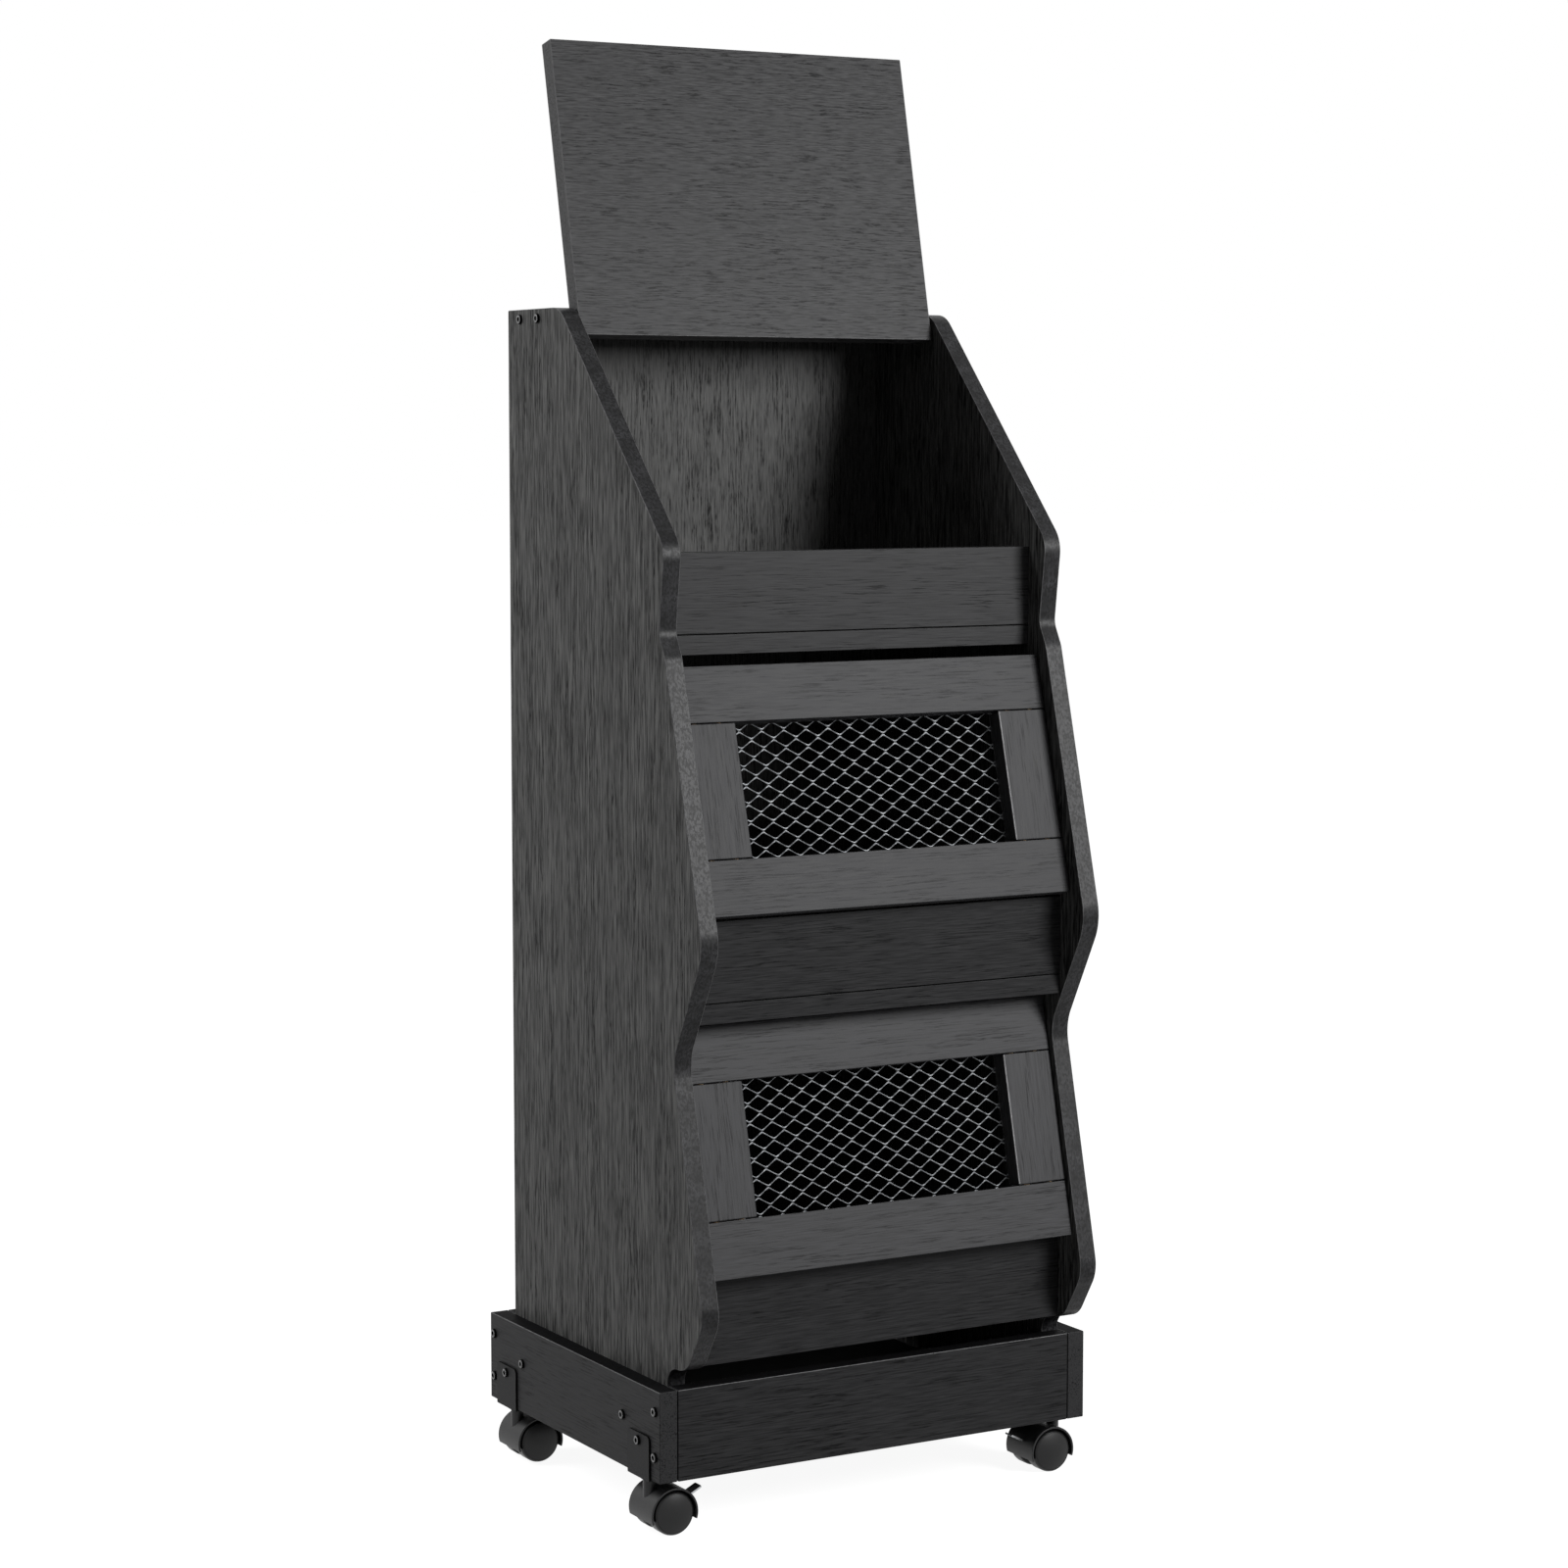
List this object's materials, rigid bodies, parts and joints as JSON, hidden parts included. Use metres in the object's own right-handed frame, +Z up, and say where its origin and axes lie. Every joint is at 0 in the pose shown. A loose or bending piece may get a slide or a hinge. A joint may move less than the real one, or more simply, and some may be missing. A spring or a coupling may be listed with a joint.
{
  "type": "kitchen storage cabinet",
  "caption": "Slim black wood storage cabinet on casters with a lidded top bin and flip-down doors of wire net in front of the bins below it.",
  "frame": {"origin": "centre of the footprint on the floor, under the middle of the bounding box", "axes": "+Z up, +X to the right seen from the front, +Y from the front to the back"},
  "size_m": [0.3914, 0.332, 1.1375],
  "materials": {
    "black_oak_board": "black stained wood-grain foil, satin",
    "birch_dowel": "bare turned birch",
    "zinc_net": "galvanised expanded metal",
    "plain_steel": "zinc plated, semi-bright",
    "black_screw": "black oxide, satin",
    "black_bracket": "black powder coat, matt",
    "black_nylon": "moulded black nylon, satin",
    "cam_zinc": "zinc die-cast"
  },
  "bodies": {
    "cabinet": {"side_panel_left": "black_oak_board", "side_panel_right": "black_oak_board", "back_panel": "black_oak_board", "top_board": "black_oak_board", "shelf_upper": "black_oak_board", "shelf_middle": "black_oak_board", "shelf_bottom": "black_oak_board", "front_board_upper": "black_oak_board", "front_board_middle": "black_oak_board", "front_board_lower": "black_oak_board", "catches": "black_nylon", "base_side_left": "black_oak_board", "base_side_right": "black_oak_board", "base_front": "black_oak_board", "base_rear": "black_oak_board", "base_floor": "black_oak_board", "caster_brackets": "black_bracket", "bracket_screws": "black_screw", "case_screws": "black_screw", "base_screws": "black_screw", "back_screws": "black_screw", "cam_locks": "cam_zinc", "cam_bolts": "plain_steel", "caster_stems": "plain_steel"},
    "lid": {"lid": "black_oak_board", "lid_pins": "plain_steel"},
    "door_upper": {"door_upper_top_rail": "black_oak_board", "door_upper_bottom_rail": "black_oak_board", "door_upper_stiles": "black_oak_board", "door_upper_dowels": "birch_dowel", "door_upper_net": "zinc_net", "door_upper_net_screws": "plain_steel", "door_upper_pins": "plain_steel", "door_upper_strikes": "plain_steel"},
    "door_lower": {"door_lower_top_rail": "black_oak_board", "door_lower_bottom_rail": "black_oak_board", "door_lower_stiles": "black_oak_board", "door_lower_dowels": "birch_dowel", "door_lower_net": "zinc_net", "door_lower_net_screws": "plain_steel", "door_lower_pins": "plain_steel", "door_lower_strikes": "plain_steel"},
    "front_left_caster": {"front_left_hood": "black_nylon", "front_left_axle": "plain_steel"},
    "front_left_wheel_fore": {"front_left_wheel_fore": "black_nylon"},
    "front_left_wheel_aft": {"front_left_wheel_aft": "black_nylon"},
    "front_right_caster": {"front_right_hood": "black_nylon", "front_right_axle": "plain_steel"},
    "front_right_wheel_fore": {"front_right_wheel_fore": "black_nylon"},
    "front_right_wheel_aft": {"front_right_wheel_aft": "black_nylon"},
    "rear_left_caster": {"rear_left_hood": "black_nylon", "rear_left_axle": "plain_steel"},
    "rear_left_wheel_fore": {"rear_left_wheel_fore": "black_nylon"},
    "rear_left_wheel_aft": {"rear_left_wheel_aft": "black_nylon"},
    "rear_right_caster": {"rear_right_hood": "black_nylon", "rear_right_axle": "plain_steel"},
    "rear_right_wheel_fore": {"rear_right_wheel_fore": "black_nylon"},
    "rear_right_wheel_aft": {"rear_right_wheel_aft": "black_nylon"},
    "brake_left": {"brake_lever_left": "plain_steel"},
    "brake_right": {"brake_lever_right": "plain_steel"}
  },
  "joints": [
    {"name": "lid_hinge", "type": "hinge", "parent": "cabinet", "child": "lid", "pos_m": [0, 0.06473, 0.91326], "axis": [1, 0, 0], "range_deg": [0, 149]},
    {"name": "door_upper_hinge", "type": "hinge", "parent": "cabinet", "child": "door_upper", "pos_m": [0, -0.14078, 0.47906], "axis": [1, 0, 0], "range_deg": [0, 184]},
    {"name": "door_lower_hinge", "type": "hinge", "parent": "cabinet", "child": "door_lower", "pos_m": [0, -0.14686, 0.2085], "axis": [1, 0, 0], "range_deg": [0, 193]},
    {"name": "front_left_swivel", "type": "hinge", "parent": "cabinet", "child": "front_left_caster", "pos_m": [-0.184, -0.096, 0.03], "axis": [0, 0, 1], "continuous": true},
    {"name": "front_left_wheel_fore_spin", "type": "hinge", "parent": "front_left_caster", "child": "front_left_wheel_fore", "pos_m": [-0.172, -0.096, 0.017], "axis": [0, 1, 0], "continuous": true},
    {"name": "front_left_wheel_aft_spin", "type": "hinge", "parent": "front_left_caster", "child": "front_left_wheel_aft", "pos_m": [-0.172, -0.096, 0.017], "axis": [0, 1, 0], "continuous": true},
    {"name": "front_right_swivel", "type": "hinge", "parent": "cabinet", "child": "front_right_caster", "pos_m": [0.184, -0.096, 0.03], "axis": [0, 0, 1], "continuous": true},
    {"name": "front_right_wheel_fore_spin", "type": "hinge", "parent": "front_right_caster", "child": "front_right_wheel_fore", "pos_m": [0.172, -0.096, 0.017], "axis": [0, 1, 0], "continuous": true},
    {"name": "front_right_wheel_aft_spin", "type": "hinge", "parent": "front_right_caster", "child": "front_right_wheel_aft", "pos_m": [0.172, -0.096, 0.017], "axis": [0, 1, 0], "continuous": true},
    {"name": "rear_left_swivel", "type": "hinge", "parent": "cabinet", "child": "rear_left_caster", "pos_m": [-0.184, 0.134, 0.03], "axis": [0, 0, 1], "continuous": true},
    {"name": "rear_left_wheel_fore_spin", "type": "hinge", "parent": "rear_left_caster", "child": "rear_left_wheel_fore", "pos_m": [-0.172, 0.134, 0.017], "axis": [0, 1, 0], "continuous": true},
    {"name": "rear_left_wheel_aft_spin", "type": "hinge", "parent": "rear_left_caster", "child": "rear_left_wheel_aft", "pos_m": [-0.172, 0.134, 0.017], "axis": [0, 1, 0], "continuous": true},
    {"name": "rear_right_swivel", "type": "hinge", "parent": "cabinet", "child": "rear_right_caster", "pos_m": [0.184, 0.134, 0.03], "axis": [0, 0, 1], "continuous": true},
    {"name": "rear_right_wheel_fore_spin", "type": "hinge", "parent": "rear_right_caster", "child": "rear_right_wheel_fore", "pos_m": [0.172, 0.134, 0.017], "axis": [0, 1, 0], "continuous": true},
    {"name": "rear_right_wheel_aft_spin", "type": "hinge", "parent": "rear_right_caster", "child": "rear_right_wheel_aft", "pos_m": [0.172, 0.134, 0.017], "axis": [0, 1, 0], "continuous": true},
    {"name": "brake_left_press", "type": "hinge", "parent": "front_left_caster", "child": "brake_left", "pos_m": [-0.1588, -0.096, 0.022], "axis": [0, 1, 0], "range_deg": [0, 35]},
    {"name": "brake_right_press", "type": "hinge", "parent": "front_right_caster", "child": "brake_right", "pos_m": [0.1588, -0.096, 0.022], "axis": [0, -1, 0], "range_deg": [0, 35]}
  ]
}
